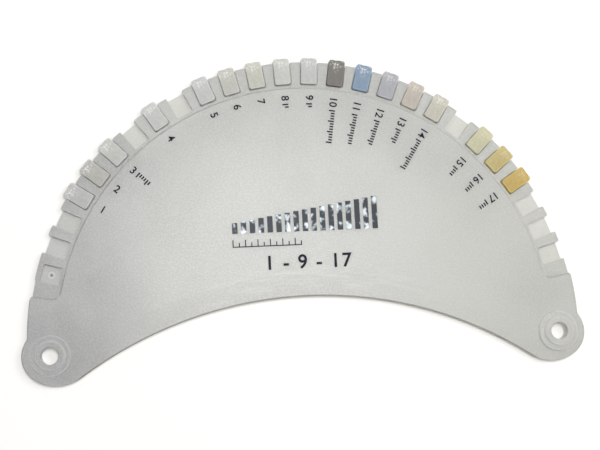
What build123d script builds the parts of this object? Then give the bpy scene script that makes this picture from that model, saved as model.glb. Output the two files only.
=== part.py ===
from build123d import *
from math import acos, asin, atan, atan2, cos, degrees, hypot, radians, sin
import os

# A crescent-shaped dental shade guide, lying on its back: one moulded plate with a row of sockets
# round its convex edge, and ceramic shade chips seated in most of them.
# Millimetres. X runs from ear to ear, Y towards the convex edge, Z up out of the face.

# Plate levels
plate_thickness = 3.0           # panel, shoulders and ears
band_drop = 0.5                 # the rim band lies this far below the panel
floor_thickness = 0.9           # what is left under a socket

# Convex edge, measured from the rim's centre
land_radius = 86.0              # outer edge of the lands between the sockets
strip_setback = 0.3             # the plain strips past the end sockets stand back from the lands
strip_inset = 0.3               # a strip starts this far inside the end socket's side
shoulder_rise = 0.5             # the shoulders stand out past the lands
shoulder_angle = 9.0            # where a shoulder ends, up from the X axis
ramp_angle = 0.8                # turn of the slope from a shoulder down to its strip
step_gap = 0.8                  # from the sockets' inner ends to the step up to the panel
step_slope = 45.0               # degrees from upright
band_corner = 2.5               # rounding where the step turns out to the edge

# Sockets, counted clockwise from the lower left
socket_count = 26
socket_pitch = 6.0              # degrees
socket_width = 5.6
socket_length = 7.5             # from the lands inwards
socket_corner = 0.6
floor_setback = 0.9             # an open socket's floor ends this far inside the lands
land_corner = 0.25              # flat broken along the lands' upright corners at the mouths
closed_socket = 1               # the one with a wall across its mouth
closed_wall = 1.6
gate_dimple_radius = 1.3        # moulding mark on the closed socket's floor
gate_dimple_depth = 0.15
gate_pin_radius = 0.25
gate_pin_height = 0.3

# Concave edge
middle_width = 75.0             # across the crescent's middle, from the lands
ear_setback = 2.4               # from the concave edge's circle to the ear's
bevel_width = 7.0               # the face falls towards the concave edge over this width
bevel_drop = 0.3

# Ears
eye_inset = 6.8                 # the holes' axes, inside the shoulders' edge
eye_angle = 2.7                 # degrees below the X axis
eye_radius = 2.65
eye_chamfer = 0.2
ear_radius = 8.7
ear_blend_radius = 13.0         # from the ear's end into the concave edge
ear_root_fillet = 1.5           # between ear and shoulder
boss_radius = 4.6
boss_rise = 1.6                 # above the panel, clear of the chips on a plate laid over this one
collar_radius = 6.3
collar_rise = 0.7               # above the panel
boss_edge = 0.25                # flat broken along the boss's and collar's upper edges
edge_rounding = 0.5             # of the face along the ears, shoulders and concave edge

# Chips
chip_positions = [4, 5, 6, 8, *range(10, 20), 21, 22, 23]
chip_side_clearance = 0.2       # between a chip and each side of its socket
chip_end_clearance = 0.35       # between a chip and its socket's inner end
chip_overhang = 1.3             # past the lands
chip_thickness = 2.2
chip_corner = 0.8
chip_crown = 0.2                # the face falls this far from its ridge to each long side
chip_tip_length = 2.9           # length of the sloped tip, along the ridge
chip_tip_drop = 0.35            # the tip's fall over that length
chip_edge = 0.2                 # flat broken along the face's sides

cut_margin = 1.0                # how far a cutting shape runs past what it cuts
match = 0.001                   # how closely an edge has to lie where it is looked for

# Sizes worked out from those above
band_top = plate_thickness - band_drop
shoulder_radius = land_radius + shoulder_rise
socket_inner_radius = land_radius - socket_length
step_radius = socket_inner_radius - step_gap
strip_radius = land_radius - strip_setback
floor_radius = land_radius - floor_setback
last_angle = 90 - (socket_count - 1) * socket_pitch / 2
strip_angle = last_angle - degrees(asin((socket_width / 2 - strip_inset) / land_radius))
ramp_foot = shoulder_angle + ramp_angle
chip_width = socket_width - 2 * chip_side_clearance
chip_end_radius = land_radius + chip_overhang
chip_length = chip_end_radius - socket_inner_radius - chip_end_clearance
open_sockets = [n + 1 for n in range(socket_count) if n + 1 != closed_socket]


def polar(centre, radius, angle):
    """Point at a radius and an angle in degrees from a centre."""
    return (centre[0] + radius * cos(radians(angle)), centre[1] + radius * sin(radians(angle)))


def distance(start, end):
    return hypot(end[0] - start[0], end[1] - start[1])


def direction(start, end):
    """Angle in degrees from one point to another."""
    return degrees(atan2(end[1] - start[1], end[0] - start[0]))


def corner_angle(side_a, side_b, opposite):
    """Angle in degrees between two sides of a triangle, from its three lengths."""
    return degrees(acos((side_a**2 + side_b**2 - opposite**2) / (2 * side_a * side_b)))


def socket_angle(position):
    """Direction of a socket from the rim's centre, in degrees."""
    return last_angle + (socket_count - position) * socket_pitch


def at_sockets(positions, radius):
    """Places at a radius on the rim, with X outwards."""
    angles = [socket_angle(position) for position in positions]
    return [Location((*polar(rim, radius, angle), 0), (0, 0, angle)) for angle in angles]


# Plan points, in millimetres from the rim's centre
rim = (0, 0)
eye = polar(rim, shoulder_radius - eye_inset, -eye_angle)
eyes = [(-eye[0], eye[1]), eye]

# The concave edge is the arc that leaves the crescent its width in the middle and clears both ears
hollow_top = land_radius - middle_width
eye_clearance = ear_radius + ear_setback
eye_below = hollow_top - eye[1]
hollow_radius = (eye[0] ** 2 + eye_below**2 - eye_clearance**2) / (2 * (eye_clearance + eye_below))
hollow = (0, hollow_top - hollow_radius)

# An ear ends in two arcs: one about its eye, and a larger one that runs into the concave edge
ear_root_angle = direction(rim, eye) + corner_angle(distance(rim, eye), shoulder_radius, ear_radius)
ear_root = polar(rim, shoulder_radius, ear_root_angle)
blend_offset = ear_blend_radius - ear_radius
blend_turn = corner_angle(distance(eye, hollow), blend_offset, hollow_radius + ear_blend_radius)
blend_direction = direction(eye, hollow) - blend_turn
blend = polar(eye, blend_offset, blend_direction)
ear_arc_start = blend_direction + 180
ear_arc_end = direction(eye, ear_root)
hollow_arc_start = direction(hollow, blend)
blend_arc_start = hollow_arc_start - 180

# The origin is under the middle of the whole object, between the top chips' ends and the ears' ends
half_pitch = radians(socket_pitch / 2)
chip_reach = (
    (chip_end_radius - chip_corner) * cos(half_pitch)
    + (chip_width / 2 - chip_corner) * sin(half_pitch)
    + chip_corner
)
ear_reach = ear_blend_radius - blend[1]
base = Plane(origin=(0, (ear_reach - chip_reach) / 2, 0))
hollow_plane = Plane(origin=base.from_local_coords((*hollow, 0)), x_dir=(1, 0, 0), z_dir=(0, -1, 0))


def uprights_at(part, points):
    """Upright edges that stand on any of these plan points."""
    found = []
    for edge in part.edges().filter_by(Axis.Z):
        foot = base.to_local_coords(edge.center())
        if any(distance((foot.X, foot.Y), point) < match for point in points):
            found.append(edge)
    return found


os.makedirs("parts", exist_ok=True)

# Holder plate
with BuildPart() as holder_plate:
    # Outline with shoulders, ears and concave edge, drawn for one half and mirrored
    with BuildSketch(base):
        with BuildLine():
            CenterArc(rim, land_radius, ramp_foot, 90 - ramp_foot)
            Line(polar(rim, land_radius, ramp_foot), polar(rim, shoulder_radius, shoulder_angle))
            CenterArc(rim, shoulder_radius, ear_root_angle, shoulder_angle - ear_root_angle)
            CenterArc(eye, ear_radius, ear_arc_start, ear_arc_end - ear_arc_start)
            CenterArc(blend, ear_blend_radius, blend_arc_start, ear_arc_start - blend_arc_start)
            CenterArc(hollow, hollow_radius, hollow_arc_start, 90 - hollow_arc_start)
            mirror(about=Plane.YZ)
        make_face()
    extrude(amount=plate_thickness)
    fillet(uprights_at(holder_plate, [ear_root, (-ear_root[0], ear_root[1])]), ear_root_fillet)

    # Soft edge along the face of the shoulders, ears and concave edge, which all lie below the ramps
    ramp_y = base.from_local_coords(polar(rim, shoulder_radius, shoulder_angle)).Y
    face_edges = holder_plate.faces().sort_by(Axis.Z)[-1].edges()
    fillet([e for e in face_edges if e.center().Y < ramp_y], edge_rounding)

    # Face falling towards the concave edge
    with BuildSketch(hollow_plane):
        bevel_run = bevel_width + cut_margin
        Polygon(
            (hollow_radius - cut_margin, plate_thickness - bevel_drop * bevel_run / bevel_width),
            (hollow_radius + bevel_width, plate_thickness),
            (hollow_radius + bevel_width, plate_thickness + cut_margin),
            (hollow_radius - cut_margin, plate_thickness + cut_margin),
            align=None,
        )
    revolve(axis=Axis(hollow_plane.origin, (0, 0, 1)), mode=Mode.SUBTRACT)

    # Rim band, one step down from the panel
    with BuildSketch(base.offset(band_top)) as band:
        with BuildLine():
            band_edge = shoulder_radius + cut_margin
            CenterArc(rim, step_radius, ramp_foot, 180 - 2 * ramp_foot)
            CenterArc(rim, band_edge, ramp_foot, 180 - 2 * ramp_foot)
            for angle in (ramp_foot, 180 - ramp_foot):
                Line(polar(rim, step_radius, angle), polar(rim, band_edge, angle))
        make_face()
        fillet([v for v in band.vertices() if hypot(v.X, v.Y) < step_radius + cut_margin], band_corner)
    extrude(amount=band_drop + cut_margin, taper=-step_slope, mode=Mode.SUBTRACT)

    # Plain strips past the end sockets
    with BuildSketch(base):
        for start in (ramp_foot, 180 - strip_angle):
            with BuildLine():
                CenterArc(rim, strip_radius, start, strip_angle - ramp_foot)
                CenterArc(rim, band_edge, start, strip_angle - ramp_foot)
                for angle in (start, start + strip_angle - ramp_foot):
                    Line(polar(rim, strip_radius, angle), polar(rim, band_edge, angle))
            make_face()
    extrude(amount=plate_thickness, mode=Mode.SUBTRACT)

    # Sockets, open at the rim apart from the closed one
    open_length = land_radius + cut_margin - socket_inner_radius
    closed_length = land_radius - closed_wall - socket_inner_radius
    with BuildSketch(base.offset(floor_thickness)):
        with Locations(at_sockets(open_sockets, socket_inner_radius + open_length / 2)):
            RectangleRounded(open_length, socket_width, socket_corner)
        with Locations(at_sockets([closed_socket], socket_inner_radius + closed_length / 2)):
            RectangleRounded(closed_length, socket_width, socket_corner)
    extrude(amount=plate_thickness, mode=Mode.SUBTRACT)
    with BuildSketch(base):
        with Locations(at_sockets(open_sockets, land_radius)):
            Rectangle(2 * (floor_setback + cut_margin), socket_width)
        Circle(floor_radius, mode=Mode.SUBTRACT)
    extrude(amount=plate_thickness, mode=Mode.SUBTRACT)
    mouth = degrees(asin(socket_width / 2 / land_radius))
    mouth_ends = [socket_angle(n) + side * mouth for n in open_sockets for side in (-1, 1)]
    chamfer(uprights_at(holder_plate, [polar(rim, land_radius, a) for a in mouth_ends]), land_corner)

    # Moulding mark on the closed socket's floor
    gate = at_sockets([closed_socket], socket_inner_radius + closed_length / 2)
    with BuildSketch(base.offset(floor_thickness - gate_dimple_depth)):
        with Locations(gate):
            Circle(gate_dimple_radius)
            Circle(gate_pin_radius, mode=Mode.SUBTRACT)
    extrude(amount=gate_dimple_depth + gate_pin_height, mode=Mode.SUBTRACT)
    with BuildSketch(base.offset(floor_thickness - gate_dimple_depth)):
        with Locations(gate):
            Circle(gate_pin_radius)
    extrude(amount=gate_pin_height)

    # Stepped bosses round the eyes
    for radius, rise in ((collar_radius, collar_rise), (boss_radius, boss_rise)):
        with BuildSketch(base.offset(plate_thickness - bevel_drop)):
            with Locations(eyes):
                Circle(radius)
        extrude(amount=bevel_drop + rise)
    circles = holder_plate.edges().filter_by(GeomType.CIRCLE)
    chamfer([e for e in circles if e.center().Z > plate_thickness + match], boss_edge)
    with Locations([base.from_local_coords((*spot, plate_thickness + boss_rise)) for spot in eyes]):
        Hole(eye_radius)
    circles = holder_plate.edges().filter_by(GeomType.CIRCLE)
    chamfer([e for e in circles if abs(e.radius - eye_radius) < match], eye_chamfer)
holder_plate.part.label = "holder_plate"
export_step(holder_plate.part, "parts/holder_plate.step")

# Chips: a bar with a low ridge along its face and broken upper edges, cut off on a slope at the tip
crown_slope = degrees(atan(chip_crown / (chip_width / 2)))
tip_slope = degrees(atan(chip_tip_drop / chip_tip_length))
for position in chip_positions:
    seat = base.offset(floor_thickness).location * at_sockets([position], chip_end_radius)[0]
    tip_start = seat * Location((-chip_tip_length, 0, chip_thickness))
    with BuildPart() as chip:
        with BuildSketch(Plane(seat)):
            with Locations((-chip_length / 2, 0)):
                RectangleRounded(chip_length, chip_width, chip_corner)
        extrude(amount=chip_thickness)
        for tilt in ((crown_slope, 0, 0), (-crown_slope, 0, 0)):
            split(bisect_by=Plane(tip_start * Location((0, 0, 0), tilt)), keep=Keep.BOTTOM)
        # The upper edges are those that the upright sides share with the face
        sides = [f for f in chip.faces() if abs(f.normal_at().Z) < match]
        upper = [e for f in sides for e in f.edges() if e.center().Z > floor_thickness + chip_thickness / 2]
        chamfer([e for e in upper if abs(e.tangent_at(0.5).Z) < 0.5], chip_edge)
        split(bisect_by=Plane(tip_start * Location((0, 0, 0), (0, tip_slope, 0))), keep=Keep.BOTTOM)
    chip.part.label = f"chip_{position:02g}"
    export_step(chip.part, f"parts/{chip.part.label}.step")
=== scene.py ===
import bpy
import math
from mathutils import Matrix, Vector


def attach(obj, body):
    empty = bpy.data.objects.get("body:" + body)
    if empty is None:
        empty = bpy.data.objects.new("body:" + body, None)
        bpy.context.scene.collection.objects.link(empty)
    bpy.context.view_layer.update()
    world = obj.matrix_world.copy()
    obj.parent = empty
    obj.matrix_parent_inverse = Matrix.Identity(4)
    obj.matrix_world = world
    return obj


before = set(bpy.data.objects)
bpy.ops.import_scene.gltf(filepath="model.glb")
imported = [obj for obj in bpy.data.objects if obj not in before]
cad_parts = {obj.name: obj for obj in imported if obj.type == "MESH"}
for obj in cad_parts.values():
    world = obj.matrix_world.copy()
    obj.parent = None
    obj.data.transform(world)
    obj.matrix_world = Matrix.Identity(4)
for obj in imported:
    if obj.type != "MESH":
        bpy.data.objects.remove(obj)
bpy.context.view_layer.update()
bpy.ops.object.select_all(action="DESELECT")

# Where the plate's features lie, in metres
RIM_Y = -0.0371482          # centre of the convex edge
FACE_Z = 0.0030             # face of the panel
BAND_Z = 0.0025             # tops of the lands between the sockets
FLOOR_Z = 0.0009            # floors of the sockets
LAND_RADIUS = 0.0860        # outer ends of the lands
SOCKET_RADIUS = 0.0785      # inner ends of the sockets
STEP_RADIUS = 0.0777        # step from the panel down to the band
HOLLOW_Y = RIM_Y - 0.11340  # centre of the concave edge
HOLLOW_RADIUS = 0.12440
EYE_X = 0.07961
EYE_Y = RIM_Y - 0.003754
BOSS_RADIUS = 0.0046
COLLAR_RADIUS = 0.0063
GATE_X = -0.07867           # moulding mark in the closed socket
GATE_Y = RIM_Y + 0.02108

# The sockets, counted clockwise from the closed one, with their angles in degrees about the rim's centre
SOCKETS = 26
SOCKET_PITCH = 6.0
LAST_SOCKET = 15.0

# The camera, fitted to the outline, the sockets' corners and the eyes
CAMERA_TURN_X, CAMERA_TURN_Y, CAMERA_TURN_Z = -0.120856426, 0.106106063, 0.0523776
CAMERA_SHIFT = (0.033271413, -0.384375480, -4.347997)  # in radii of the lands
SENSOR_WIDTH, LENS = 36.0, 72.0  # millimetres


def camera():
    """Camera that sees the plate as the photo does, from a little below and to the left."""
    turn = (Matrix.Rotation(CAMERA_TURN_Z, 3, "Z") @ Matrix.Rotation(CAMERA_TURN_X, 3, "X")
            @ Matrix.Rotation(CAMERA_TURN_Y, 3, "Y"))
    shift = Vector(CAMERA_SHIFT) * LAND_RADIUS
    place = turn.transposed() @ -shift + Vector((0, RIM_Y, FACE_Z))
    data = bpy.data.cameras.new("camera")
    data.sensor_width = SENSOR_WIDTH
    data.lens = LENS
    data.clip_start = 0.01
    cam = bpy.data.objects.new("camera", data)
    cam.matrix_world = Matrix.Translation(place) @ turn.transposed().to_4x4()
    bpy.context.scene.collection.objects.link(cam)
    bpy.context.scene.camera = cam


# Material helpers
def new_material(name):
    mat = bpy.data.materials.new(name)
    mat.use_nodes = True
    tree = mat.node_tree
    return mat, tree, tree.nodes["Principled BSDF"]


def set_inputs(node, **values):
    """Plain numbers and colours on a node's sockets: Coat_Weight stands for Coat Weight."""
    for name, value in values.items():
        node.inputs[name.replace("_", " ")].default_value = value


def math_node(tree, operation, *values):
    node = tree.nodes.new("ShaderNodeMath")
    node.operation = operation
    for socket, value in zip(node.inputs, values):
        if isinstance(value, (int, float)):
            socket.default_value = value
        else:
            tree.links.new(value, socket)
    return node.outputs[0]


def times(tree, a, b):
    return math_node(tree, "MULTIPLY", a, b)


def plus(tree, a, b):
    return math_node(tree, "ADD", a, b)


def minus(tree, a, b):
    return math_node(tree, "SUBTRACT", a, b)


def unsigned(tree, a):
    return math_node(tree, "ABSOLUTE", a)


def fade(tree, value, start, end, least=0.0, most=1.0):
    """Soft change from least to most, as the value goes from start to end."""
    node = tree.nodes.new("ShaderNodeMapRange")
    node.interpolation_type = "SMOOTHSTEP"
    tree.links.new(value, node.inputs["Value"])
    set_inputs(node, From_Min=start, From_Max=end, To_Min=least, To_Max=most)
    return node.outputs["Result"]


def mix(tree, factor, under, over, blend="MIX"):
    """One colour laid over another, as strongly as the factor says."""
    node = tree.nodes.new("ShaderNodeMix")
    node.data_type = "RGBA"
    node.blend_type = blend
    amount = [s for s in node.inputs if s.name == "Factor" and s.type == "VALUE"][0]
    colours = [s for s in node.inputs if s.type == "RGBA"]
    tree.links.new(factor, amount)
    for socket, colour in zip(colours, (under, over)):
        if isinstance(colour, tuple):
            socket.default_value = (*colour, 1.0)
        else:
            tree.links.new(colour, socket)
    return [s for s in node.outputs if s.type == "RGBA"][0]


def object_point(tree):
    """Object coordinates, whole and as separate X, Y and Z."""
    coords = tree.nodes.new("ShaderNodeTexCoord")
    split = tree.nodes.new("ShaderNodeSeparateXYZ")
    tree.links.new(coords.outputs["Object"], split.inputs[0])
    return coords.outputs["Object"], split.outputs


def noise(tree, point, scale, detail=2.0, roughness=0.5):
    node = tree.nodes.new("ShaderNodeTexNoise")
    tree.links.new(point, node.inputs["Vector"])
    set_inputs(node, Scale=scale, Detail=detail, Roughness=roughness)
    return node.outputs["Fac"]


def reach(tree, x, y, centre_x, centre_y):
    """Distance in the plane from a point, in metres."""
    dx = minus(tree, x, centre_x)
    dy = minus(tree, y, centre_y)
    return math_node(tree, "SQRT", plus(tree, times(tree, dx, dx), times(tree, dy, dy)))


def bump(tree, shader, height, strength, depth):
    node = tree.nodes.new("ShaderNodeBump")
    set_inputs(node, Strength=strength, Distance=depth)
    tree.links.new(height, node.inputs["Height"])
    tree.links.new(node.outputs["Normal"], shader.inputs["Normal"])
    return node.outputs["Normal"]


# What the plate and the chips share: light that spreads a little way under a frosted skin
MILKY = {"IOR": 1.25, "Subsurface_Weight": 1.0, "Subsurface_Radius": (1.0, 1.0, 1.0),
         "Subsurface_Scale": 0.0015}

# Frosted plastic of the plate
# Painted shade: the left tint greys the plate towards the left ear, and the rim shade darkens it towards
# the rim
TINT = {
    "left": (0.49, 0.495, 0.50), "middle": (0.65, 0.655, 0.635), "right": (0.69, 0.69, 0.66),
    "rim shade": (0.84, 0.84, 0.84), "cloud": (0.71, 0.715, 0.70), "speck": (0.95, 0.95, 0.94),
    "highlight_streak": (0.88, 0.89, 0.87), "filling mark": (0.60, 0.60, 0.59),
    "shaded left floor": (0.74, 0.74, 0.73), "floor": (0.89, 0.89, 0.83), "wall": (0.97, 0.97, 0.95),
    "pin": (0.10, 0.10, 0.10), "pin ring": (0.35, 0.35, 0.35), "boss": (0.95, 0.95, 0.94),
    "shaded cut at face": (0.14, 0.14, 0.14), "warm lit cut below": (1.0, 0.92, 0.80),
}
LEFT_FADE, RIGHT_FADE = (-0.092, -0.010), (0.010, 0.080)    # where the tints meet, along x; the greyer left is painted shade
RIM_FADE = (0.040, 0.078)                   # where the rim's painted shade grows, from the rim's centre
CLOUD_SCALE, SPECK_SCALE, GRAIN_SCALE = 45.0, 1700.0, 2000.0
GRAIN_DEPTH = 0.0001
GLARE_X, GLARE_Y = -0.012, RIM_Y + 0.022  # middle of the painted sparkle, where the overhead lamp's glare falls
GLARE_FADE = (0.055, 0.012)
STREAK_ALONG, STREAK_ACROSS = 90.0, 900.0       # the painted glare streaks' scales on the bevel
BEVEL_FADES = ((0.0010, 0.0030), (0.0110, 0.0060))          # into and out of the bevel, from its edge
BEVEL_ENDS = (0.050, 0.015)                 # where the streaks end, from the middle
FILLING_MARK_Y = RIM_Y + 0.0462
FILLING_MARK_FADE = (0.0050, 0.0034)
# where the painted shade on the socket floors beside the left ear fades out, along x
LEFT_FLOOR_FADE = (-0.084, -0.050)
PIN_RADIUS = 0.0003
PIN_RING_RADIUS = 0.0013
STEP_RUN = 0.0008                           # the step's slope, along the radius
RAMP_TOP = RIM_Y + 0.010                    # below here the step is a ramp, gets no painted light and stays grey
CUT_Z = 0.0016                              # the cut edge has a line of painted shade above and warm painted light below


def sheet_colour(tree, point, x, y):
    """Painted shade makes it greyer at the left and towards the rim; over it lie slow clouds, and fine pale
    specks that grow stronger as painted sparkle where the glare falls.
    """
    # painted shade, greyer towards the left
    colour = mix(tree, fade(tree, x, *LEFT_FADE), TINT["left"], TINT["middle"])
    colour = mix(tree, fade(tree, x, *RIGHT_FADE), colour, TINT["right"])
    outwards = fade(tree, reach(tree, x, y, 0.0, RIM_Y), *RIM_FADE)
    # painted shade towards the rim
    colour = mix(tree, outwards, colour, TINT["rim shade"], "MULTIPLY")
    cloud = fade(tree, noise(tree, point, CLOUD_SCALE, detail=3.0), 0.35, 0.65, most=0.3)
    colour = mix(tree, cloud, colour, TINT["cloud"])
    # the specks are the frosting's grain; round the glare they are made stronger as painted sparkle
    glare_sparkle = fade(tree, reach(tree, x, y, GLARE_X, GLARE_Y), *GLARE_FADE, least=0.22, most=0.42)
    speck = fade(tree, noise(tree, point, SPECK_SCALE, detail=3.0, roughness=0.7), 0.40, 0.66)
    return mix(tree, times(tree, speck, glare_sparkle), colour, TINT["speck"])


def flow_streaks(tree, colour, x, inside):
    """Painted glare: pale streaks along the bevel of the concave side, strongest near the middle."""
    streak_point = tree.nodes.new("ShaderNodeCombineXYZ")
    tree.links.new(times(tree, x, STREAK_ALONG), streak_point.inputs[0])
    tree.links.new(times(tree, inside, STREAK_ACROSS), streak_point.inputs[1])
    streaks = fade(tree, noise(tree, streak_point.outputs[0], scale=1.0, detail=3.0, roughness=0.6), 0.45, 0.65)
    for start, end in BEVEL_FADES:
        streaks = times(tree, streaks, fade(tree, inside, start, end))
    streaks = times(tree, streaks, fade(tree, unsigned(tree, x), *BEVEL_ENDS, most=0.5))
    # painted glare laid over the bevel
    return mix(tree, streaks, colour, TINT["highlight_streak"])


def filling_mark(tree, colour, x, y):
    """Faint round mark where the mould was filled, above the middle of the print."""
    mark = fade(tree, reach(tree, x, y, 0.0, FILLING_MARK_Y), *FILLING_MARK_FADE, most=0.22)
    return mix(tree, mark, colour, TINT["filling mark"])


def socket_floors(tree, colour, x, z):
    """Painted light makes the thin floors paler, as if the pale ground shone through them; less so beside
    the left ear, where painted shade greys them.
    """
    # painted light on the socket floors, greyer by painted shade beside the left ear
    thin = mix(tree, fade(tree, x, *LEFT_FLOOR_FADE), TINT["shaded left floor"], TINT["floor"])
    return mix(tree, fade(tree, z, FLOOR_Z + 0.0001, FLOOR_Z - 0.0001), colour, thin)


def socket_walls(tree, colour, x, y, z):
    """Painted light keeps the socket walls and the slope of the step pale, standing for light carried
    through the plastic.
    """
    radius = reach(tree, x, y, 0.0, RIM_Y)
    in_band = times(tree, fade(tree, radius, STEP_RADIUS - 0.0003, STEP_RADIUS),
                    fade(tree, radius, LAND_RADIUS, LAND_RADIUS - 0.0002))
    in_step = times(tree, fade(tree, radius, STEP_RADIUS + STEP_RUN, STEP_RADIUS + STEP_RUN - 0.0002),
                    fade(tree, y, RAMP_TOP, RAMP_TOP + 0.002, most=0.75))
    wall = times(tree, fade(tree, z, BAND_Z - 0.00003, BAND_Z - 0.0002),
                 fade(tree, z, FLOOR_Z + 0.00002, FLOOR_Z + 0.0001))
    slope = times(tree, fade(tree, z, BAND_Z + 0.00001, BAND_Z + 0.0001),
                  fade(tree, z, FACE_Z - 0.00001, FACE_Z - 0.0001))
    # painted light on the socket walls and on the upper part of the step's slope
    pale = times(tree, plus(tree, wall, times(tree, slope, in_step)), in_band)
    return mix(tree, times(tree, pale, 0.8), colour, TINT["wall"])


def closed_socket_pin(tree, colour, x, y):
    """The closed socket's pin is a dark dot in a faint ring."""
    gate = reach(tree, x, y, GATE_X, GATE_Y)
    colour = mix(tree, fade(tree, gate, 2 * PIN_RADIUS, PIN_RADIUS, most=0.85), colour, TINT["pin"])
    ring = fade(tree, unsigned(tree, minus(tree, gate, PIN_RING_RADIUS)), 0.0002, 0.0)
    return mix(tree, times(tree, ring, 0.3), colour, TINT["pin ring"])


def boss_sides(tree, colour, x, y, z):
    """Painted light keeps the upright sides of the bosses and collars pale."""
    for side in (-1, 1):
        spot = reach(tree, x, y, side * EYE_X, EYE_Y)
        for radius in (BOSS_RADIUS, COLLAR_RADIUS):
            near = unsigned(tree, minus(tree, spot, radius))
            # painted light on the upright sides
            upright = times(tree, fade(tree, near, 0.0005, 0.0001, most=0.55),
                            fade(tree, z, FACE_Z - 0.00005, FACE_Z + 0.0001))
            colour = mix(tree, upright, colour, TINT["boss"])
    return colour


def hollow_cut(tree, colour, inside, z):
    """Along the concave side the cut edge gets a dark line of painted shade at the face, and warm, pale
    painted light below.
    """
    edge = fade(tree, unsigned(tree, inside), 0.0005, 0.0001)
    at_face = fade(tree, z, CUT_Z, CUT_Z + 0.0006, most=0.85)
    below = fade(tree, z, CUT_Z, CUT_Z - 0.0005, most=0.9)
    # painted shade along the cut at the face, then painted warm light below it
    colour = mix(tree, times(tree, edge, at_face), colour, TINT["shaded cut at face"])
    return mix(tree, times(tree, edge, below), colour, TINT["warm lit cut below"])


def frosted_plastic():
    mat, tree, shader = new_material("frosted_plastic")
    point, (x, y, z) = object_point(tree)
    inside = minus(tree, reach(tree, x, y, 0.0, HOLLOW_Y), HOLLOW_RADIUS)
    colour = sheet_colour(tree, point, x, y)
    colour = flow_streaks(tree, colour, x, inside)
    colour = filling_mark(tree, colour, x, y)
    colour = socket_floors(tree, colour, x, z)
    colour = socket_walls(tree, colour, x, y, z)
    colour = closed_socket_pin(tree, colour, x, y)
    colour = boss_sides(tree, colour, x, y, z)
    colour = hollow_cut(tree, colour, inside, z)
    tree.links.new(colour, shader.inputs["Base Color"])
    grain = noise(tree, point, GRAIN_SCALE, detail=3.0, roughness=0.6)
    tree.links.new(bump(tree, shader, grain, strength=0.6, depth=GRAIN_DEPTH), shader.inputs["Coat Normal"])
    set_inputs(shader, Roughness=0.40, Specular_IOR_Level=1.0, Transmission_Weight=0.45,
               Coat_Weight=0.10, Coat_Roughness=0.18, **MILKY)
    return mat


# Fired shade chips: each socket's colour, and how strongly painted glints light its tip
CHIP_COLOURS = {
    4: (0.665, 0.665, 0.65), 5: (0.63, 0.62, 0.58), 6: (0.72, 0.725, 0.685), 8: (0.735, 0.735, 0.715),
    10: (0.725, 0.725, 0.71), 11: (0.705, 0.70, 0.64), 12: (0.72, 0.72, 0.635), 13: (0.745, 0.75, 0.71),
    14: (0.71, 0.71, 0.695), 15: (0.26, 0.245, 0.22), 16: (0.32, 0.43, 0.57), 17: (0.545, 0.55, 0.58),
    18: (0.68, 0.62, 0.545), 19: (0.725, 0.705, 0.60), 21: (0.75, 0.72, 0.50), 22: (0.71, 0.59, 0.265),
    23: (0.72, 0.53, 0.16),
}
CHIP_GLINTS = {4: 1.0, 5: 1.0, 6: 0.8, 8: 0.8, 10: 1.0, 11: 1.0, 12: 1.0, 13: 0.9, 14: 0.8, 15: 0.8,
               16: 0.9, 17: 0.7, 18: 0.6, 19: 0.8, 21: 0.4, 22: 0.35, 23: 0.35}
GLINT_COLOUR = (1.0, 1.0, 0.99)
CHIP_TIP_RADIUS = LAND_RADIUS + 0.0013
GROUND_LENGTH = 0.0040                      # how far the ground tip reaches in
GROUND_SLOPE = 1.3                          # how fast the ground triangle narrows
GROUND_FADE = (-0.0012, 0.0014)
MOTTLED, GROUND, EDGE_LIGHT = 0.84, 0.92, 1.45  # brightness of the mottle, of the ground tip and of the edges' painted light, beside the body's
SIDE_FADE = (0.0022, 0.0026)                # into the sides' painted light, from the chip's middle
END_FADE = (SOCKET_RADIUS + 0.0008, SOCKET_RADIUS + 0.0004)
MOTTLE_SCALE, GLINT_SCALE, FIRED_SCALE = 900.0, 1900.0, 2600.0
FIRED_DEPTH = 0.00012


def socket_angle(number):
    """Direction of a socket from the rim's centre, in degrees."""
    return LAST_SOCKET + (SOCKETS - number) * SOCKET_PITCH


def toned(colour, amount):
    return tuple(min(1.0, amount * c) for c in colour)


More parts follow.
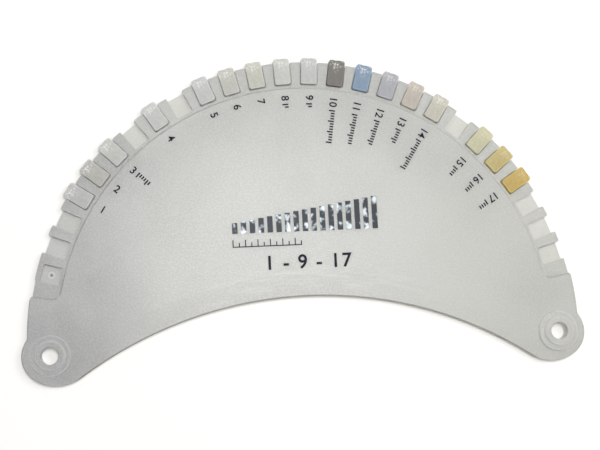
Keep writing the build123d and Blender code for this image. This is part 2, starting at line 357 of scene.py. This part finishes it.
def chip_glaze(number):
    """Ceramic of one chip, with x running outwards along its socket."""
    mat, tree, shader = new_material(f"glaze_{number:02d}")
    body = CHIP_COLOURS[number]
    coords = tree.nodes.new("ShaderNodeTexCoord")
    turn = tree.nodes.new("ShaderNodeMapping")
    turn.vector_type = "TEXTURE"
    set_inputs(turn, Location=(0, RIM_Y, 0), Rotation=(0, 0, math.radians(socket_angle(number))))
    tree.links.new(coords.outputs["Object"], turn.inputs["Vector"])
    point = turn.outputs["Vector"]
    parts = tree.nodes.new("ShaderNodeSeparateXYZ")
    tree.links.new(point, parts.inputs[0])
    x, y, _ = parts.outputs
    across = unsigned(tree, y)
    # the ground tip is a triangle, pointing inwards, toned a little and strewn with painted glints
    run = minus(tree, x, CHIP_TIP_RADIUS - GROUND_LENGTH)
    tip = fade(tree, minus(tree, run, times(tree, across, GROUND_SLOPE)), *GROUND_FADE)
    mottle = fade(tree, noise(tree, point, MOTTLE_SCALE, detail=3.0), 0.3, 0.7, most=0.6)
    colour = mix(tree, mottle, body, toned(body, MOTTLED))
    colour = mix(tree, times(tree, tip, 0.4), colour, toned(body, GROUND))
    # painted light: the sides and the inner end are made a little paler, where light catches the edges
    side_edge = fade(tree, across, *SIDE_FADE)
    end_edge = fade(tree, x, *END_FADE)
    lit_edges = math_node(tree, "MAXIMUM", side_edge, end_edge)
    colour = mix(tree, times(tree, lit_edges, 0.8), colour, toned(body, EDGE_LIGHT))
    # painted glints: white specks on the ground tip, as strong as the chip's glint value
    glint = times(tree, fade(tree, noise(tree, point, GLINT_SCALE, roughness=0.6), 0.50, 0.60), tip)
    colour = mix(tree, times(tree, glint, CHIP_GLINTS[number]), colour, GLINT_COLOUR)
    tree.links.new(colour, shader.inputs["Base Color"])
    grains = tree.nodes.new("ShaderNodeTexVoronoi")
    tree.links.new(point, grains.inputs["Vector"])
    set_inputs(grains, Scale=FIRED_SCALE)
    bump(tree, shader, grains.outputs["Distance"], strength=0.5, depth=FIRED_DEPTH)
    set_inputs(shader, Roughness=0.32, Specular_IOR_Level=0.8, Transmission_Weight=0.35, **MILKY)
    return mat


def finish_plate_and_chips():
    plastic = frosted_plastic()
    for name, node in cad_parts.items():
        finish = plastic if name == "holder_plate" else chip_glaze(int(name[-2:]))
        for slot in node.material_slots:
            slot.material = finish
        if not node.material_slots:
            node.data.materials.append(finish)


# Print on the panel's face
PRINT_THICKNESS = 0.00002
PRINT_BOLDNESS = 0.016      # stroke's growth, in heights of the figures
INK_DARK, INK_WORN = (0.006, 0.007, 0.018), (0.05, 0.05, 0.06)
# the foil's light colour is a painted highlight
FOIL_DARK, FOIL_HIGHLIGHT = (0.02, 0.022, 0.025), (0.20, 0.22, 0.23)
WEAR_SCALE, STREAK_SCALE, CRUMPLE_SCALE = 2500.0, 330.0, 900.0
CRUMPLE_DEPTH = 0.00008

# length of the line of ticks after each chip's number, by socket
TICK_LINES = {4: 0, 5: 0, 6: 0.0055, 8: 0, 10: 0, 11: 0, 12: 0, 13: 0.0025, 14: 0.0025, 15: 0.012,
              16: 0.011, 17: 0.009, 18: 0.006, 19: 0.012, 21: 0.004, 22: 0.004, 23: 0.004}
NUMBER_RADIUS = 0.0752
NUMBER_SIZE = 0.0034
ONE_FIGURE, TWO_FIGURES = 0.0029, 0.0046    # room that a number takes
TICK_PITCH = 0.00086
TICK_WIDTH = 0.00044
TICK_FOOT = 0.00095         # the ticks' feet, below the line's middle
TALL_TICK, LOW_TICK = 0.0019, 0.0012
TALL_EVERY = 4

RANGE_X, RANGE_Y = 0.0009, RIM_Y + 0.0216
RANGE_SIZE = 0.0062
RANGE_SPACING = 1.15

RULE_X, RULE_Y = -0.0226, RIM_Y + 0.0272
RULE_LENGTH = 0.0218
RULE_LINE = 0.0003
RULE_TICKS = 12
TALL_RULE_TICK, LOW_RULE_TICK = 0.0022, 0.0013

FOIL_X, FOIL_Y = -0.0217, RIM_Y + 0.0314
FOIL_BARS = 17
FOIL_PITCH = 0.00278
FOIL_WIDTH = 0.0017
SHORTEST_BAR, LONGEST_BAR = 0.0034, 0.0104


def dark_ink():
    mat, tree, shader = new_material("dark_ink")
    point, _ = object_point(tree)
    wear = fade(tree, noise(tree, point, WEAR_SCALE), 0.45, 0.75, most=0.3)
    tree.links.new(mix(tree, wear, INK_DARK, INK_WORN), shader.inputs["Base Color"])
    set_inputs(shader, Roughness=0.6, Specular_IOR_Level=0.2)
    return mat


def stamped_foil():
    """Light and dark streaks painted into the colour as the highlights and reflections of foil pressed onto
    a grained sheet, over a crumpled bump.
    """
    mat, tree, shader = new_material("stamped_foil")
    point, _ = object_point(tree)
    # painted highlights and dark reflections in the foil's colour
    highlight_streak = fade(tree, noise(tree, point, STREAK_SCALE), 0.50, 0.66)
    tree.links.new(mix(tree, highlight_streak, FOIL_DARK, FOIL_HIGHLIGHT), shader.inputs["Base Color"])
    bump(tree, shader, noise(tree, point, CRUMPLE_SCALE), strength=0.35, depth=CRUMPLE_DEPTH)
    set_inputs(shader, Metallic=1.0, Roughness=0.42)
    return mat


def printed_text(words, x, y, angle, size, align="LEFT", spacing=1.0):
    """Plain figures on the panel's face."""
    bpy.ops.object.select_all(action="DESELECT")
    bpy.ops.object.text_add(location=(0, 0, 0))
    text = bpy.context.object
    text.data.body = words
    text.data.size = size
    text.data.align_x = align
    text.data.align_y = "CENTER"
    text.data.space_character = spacing
    text.data.extrude = PRINT_THICKNESS / 2
    text.data.offset = size * PRINT_BOLDNESS
    bpy.ops.object.convert(target="MESH")
    piece = bpy.context.object
    piece.location = (x, y, FACE_Z + PRINT_THICKNESS / 2)
    piece.rotation_euler = (0, 0, math.radians(angle))
    bpy.ops.object.transform_apply(location=True, rotation=True, scale=True)
    return piece


def printed_bar(length, width, x, y, angle):
    """A plain bar on the panel's face, from the middle of its near end."""
    bpy.ops.object.select_all(action="DESELECT")
    bpy.ops.mesh.primitive_cube_add(size=1.0, location=(0, 0, 0))
    bar = bpy.context.object
    bar.scale = (length, width, PRINT_THICKNESS)
    bpy.ops.object.transform_apply(location=False, rotation=False, scale=True)
    bar.location = (x + math.cos(math.radians(angle)) * length / 2,
                    y + math.sin(math.radians(angle)) * length / 2, FACE_Z + PRINT_THICKNESS / 2)
    bar.rotation_euler = (0, 0, math.radians(angle))
    bpy.ops.object.transform_apply(location=True, rotation=True, scale=False)
    return bar


def print_piece(name, parts, material):
    """One piece of the print, joined from its parts."""
    bpy.ops.object.select_all(action="DESELECT")
    for part in parts:
        part.select_set(True)
    bpy.context.view_layer.objects.active = parts[0]
    if len(parts) > 1:
        bpy.ops.object.join()
    piece = bpy.context.object
    piece.name = name
    piece.data.name = name
    piece.data.materials.clear()
    piece.data.materials.append(material)
    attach(piece, "root")


def print_numbers(ink):
    """A number on the panel beside each chip, some with a line of graded ticks after it."""
    for order, (socket, length) in enumerate(TICK_LINES.items(), start=1):
        angle = socket_angle(socket)
        ux, uy = math.cos(math.radians(angle)), math.sin(math.radians(angle))
        parts = [printed_text(str(order), NUMBER_RADIUS * ux, RIM_Y + NUMBER_RADIUS * uy, angle + 180,
                              NUMBER_SIZE)]
        start = NUMBER_RADIUS - (ONE_FIGURE if order < 10 else TWO_FIGURES)
        for tick in range(int(length / TICK_PITCH)):
            along = start - tick * TICK_PITCH
            tall = TALL_TICK if tick % TALL_EVERY == 0 else LOW_TICK
            parts.append(printed_bar(tall, TICK_WIDTH, along * ux + uy * TICK_FOOT,
                                     RIM_Y + along * uy - ux * TICK_FOOT, angle + 90))
        print_piece(f"printed_number_{order:02d}", parts, ink)


def print_range(ink):
    """Range of the numbers, under the rule."""
    text = printed_text("1 - 9 - 17", RANGE_X, RANGE_Y, 0, RANGE_SIZE, "CENTER", RANGE_SPACING)
    print_piece("printed_range", [text], ink)


def print_rule(ink):
    """Fine rule under the foil bars."""
    parts = [printed_bar(RULE_LENGTH, RULE_LINE, RULE_X, RULE_Y, 0)]
    for tick in range(RULE_TICKS):
        tall = TALL_RULE_TICK if tick % 2 == 0 else LOW_RULE_TICK
        along = RULE_LINE / 2 + tick * (RULE_LENGTH - RULE_LINE) / (RULE_TICKS - 1)
        parts.append(printed_bar(tall, RULE_LINE, RULE_X + along, RULE_Y, 90))
    print_piece("printed_rule", parts, ink)


def print_foil_bars(foil):
    """Foil bars that grow from left to right."""
    parts = []
    for step in range(FOIL_BARS):
        tall = SHORTEST_BAR + (LONGEST_BAR - SHORTEST_BAR) * step / (FOIL_BARS - 1)
        parts.append(printed_bar(tall, FOIL_WIDTH, FOIL_X + step * FOIL_PITCH, FOIL_Y, 90))
    print_piece("foil_bars", parts, foil)


# Stage
GROUND_SIZE = 6.0
GROUND_DROP = 0.00002       # keeps the ground just clear of the plate's back
GROUND_COLOUR = (0.71, 0.71, 0.71, 1.0)
GLOW_COLOUR = (1.0, 0.95, 0.86, 1.0)
GLOW_NEAR, GLOW_FAR = 0.23, 1.0
GLOW_FADE = (0.25, 1.6)     # from under the lamps to where none reaches
AMBIENT = 0.33              # light from all round


def floor_material():
    """Pale ground that keeps the shadow and looks white, also far away where no lamp reaches."""
    mat, tree, shader = new_material("floor")
    tree.nodes.remove(shader)
    path = tree.nodes.new("ShaderNodeLightPath")
    plain = tree.nodes.new("ShaderNodeBsdfDiffuse")
    set_inputs(plain, Color=GROUND_COLOUR)
    glow = tree.nodes.new("ShaderNodeEmission")
    set_inputs(glow, Color=GLOW_COLOUR)
    seen = math_node(tree, "MAXIMUM", path.outputs["Is Camera Ray"], path.outputs["Is Glossy Ray"])
    seen = math_node(tree, "MAXIMUM", seen, path.outputs["Is Transmission Ray"])
    _, (x, y, _) = object_point(tree)
    strength = fade(tree, reach(tree, x, y, 0.0, 0.0), *GLOW_FADE, GLOW_NEAR, GLOW_FAR)
    tree.links.new(times(tree, seen, strength), glow.inputs["Strength"])
    both = tree.nodes.new("ShaderNodeAddShader")
    tree.links.new(plain.outputs[0], both.inputs[0])
    tree.links.new(glow.outputs[0], both.inputs[1])
    tree.links.new(both.outputs[0], tree.nodes["Material Output"].inputs["Surface"])
    return mat


def lay_floor():
    bpy.ops.mesh.primitive_plane_add(size=GROUND_SIZE, location=(0, 0, -GROUND_DROP))
    floor = bpy.context.object
    floor.name = "floor"
    floor.data.materials.append(floor_material())


def soft_box(name, place, target, size, power):
    data = bpy.data.lights.new(name, "AREA")
    data.shape = "DISK"
    data.size = size
    data.energy = power
    lamp = bpy.data.objects.new(name, data)
    facing = (Vector(place) - Vector(target)).to_track_quat("Z", "Y").to_matrix().to_4x4()
    lamp.matrix_world = Matrix.Translation(place) @ facing
    bpy.context.scene.collection.objects.link(lamp)


def studio_world():
    """Soft light from all round, and a white backdrop for the camera."""
    world = bpy.data.worlds.new("studio")
    world.use_nodes = True
    tree = world.node_tree
    sky = tree.nodes["Background"]
    set_inputs(sky, Color=(1.0, 1.0, 1.0, 1.0))
    seen = tree.nodes.new("ShaderNodeLightPath").outputs["Is Camera Ray"]
    tree.links.new(plus(tree, times(tree, seen, 1.0 - AMBIENT), AMBIENT), sky.inputs["Strength"])
    bpy.context.scene.world = world


camera()
finish_plate_and_chips()
ink = dark_ink()
foil = stamped_foil()
print_numbers(ink)
print_range(ink)
print_rule(ink)
print_foil_bars(foil)
lay_floor()
# the overhead soft box is placed so that its glare on the frosted face lies left of the middle
soft_box("overhead", place=(0.005, 0.085, 0.80), target=(-0.012, 0.0, 0.0), size=0.22, power=4.1)
soft_box("side", place=(0.26, 0.12, 0.48), target=(0.0, 0.0, 0.0), size=0.25, power=0.88)
studio_world()
bpy.context.scene.view_settings.view_transform = "Standard"

bpy.context.view_layer.update()
